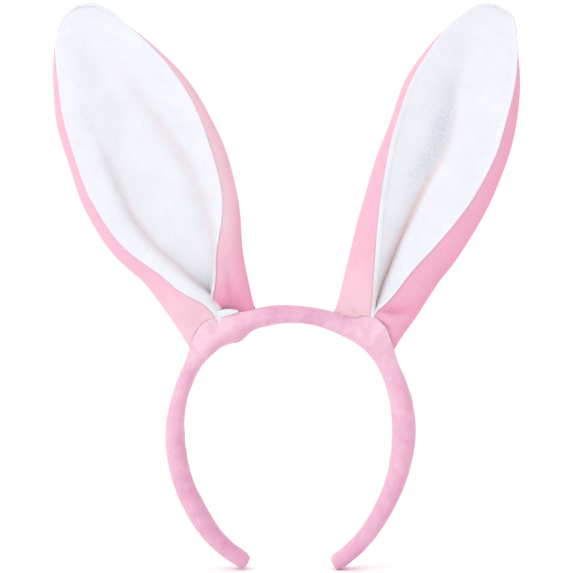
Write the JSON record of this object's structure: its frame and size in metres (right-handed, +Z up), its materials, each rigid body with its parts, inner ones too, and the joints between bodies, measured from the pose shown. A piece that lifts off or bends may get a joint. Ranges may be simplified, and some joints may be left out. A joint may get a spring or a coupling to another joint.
{
  "type": "animal ears headband",
  "caption": "Padded, fabric-covered headband that clips over the head and carries two tall cupped rabbit ears with pink backs and white linings.",
  "frame": {"origin": "centre of the crown arc, on the axis of the band's inner face over the head, midway between its front and back edges", "axes": "+Z up, out of the top of the wearer's head; -Y to the front, where the ears open; +X to the right as seen from the front; +Y along the axis of the crown's inner face"},
  "size_m": [0.2706, 0.0271, 0.3265],
  "materials": {
    "band_plush": "brushed plush, pale lilac pink",
    "ear_pink": "brushed polyester felt, pale pink",
    "ear_white": "brushed white lining",
    "interlining": "stiff non-woven sheet",
    "foam": "soft open-cell padding",
    "core_plastic": "plain moulded strip",
    "rim_wire": "plain drawn wire",
    "thread": "twisted sewing thread"
  },
  "bodies": {
    "crown": {"crown_core": "core_plastic", "crown_foam": "foam", "crown_cover": "band_plush", "crown_cover_seam": "thread"},
    "left_arm": {"left_arm_core": "core_plastic", "left_arm_foam": "foam", "left_arm_cover": "band_plush", "left_arm_cover_seam": "thread", "left_arm_end_stitch": "thread"},
    "right_arm": {"right_arm_core": "core_plastic", "right_arm_foam": "foam", "right_arm_cover": "band_plush", "right_arm_cover_seam": "thread", "right_arm_end_stitch": "thread"},
    "left_ear": {"left_ear_outer_panel": "ear_pink", "left_ear_interlining": "interlining", "left_ear_lining": "ear_white", "left_ear_rim_wire": "rim_wire", "left_ear_rim_seam": "thread", "left_ear_tack_stitches": "thread"},
    "right_ear": {"right_ear_outer_panel": "ear_pink", "right_ear_interlining": "interlining", "right_ear_lining": "ear_white", "right_ear_rim_wire": "rim_wire", "right_ear_rim_seam": "thread", "right_ear_tack_stitches": "thread"}
  },
  "joints": [
    {"name": "left_arm_flex", "type": "hinge", "parent": "crown", "child": "left_arm", "pos_m": [-0.05938, 0, 0.02644], "axis": [0, 1, 0], "range_deg": [-5, 13], "stiffness_Nm_per_rad": 1.5},
    {"name": "right_arm_flex", "type": "hinge", "parent": "crown", "child": "right_arm", "pos_m": [0.05938, 0, 0.02644], "axis": [0, -1, 0], "range_deg": [-5, 13], "stiffness_Nm_per_rad": 1.5},
    {"name": "left_ear_lean", "type": "hinge", "parent": "crown", "child": "left_ear", "pos_m": [-0.03597, 0, 0.05414], "axis": [0.8329, 0, 0.5534], "range_deg": [-42, 38]},
    {"name": "right_ear_lean", "type": "hinge", "parent": "crown", "child": "right_ear", "pos_m": [0.04011, 0, 0.05115], "axis": [0.7869, 0, -0.617], "range_deg": [-42, 38]}
  ]
}
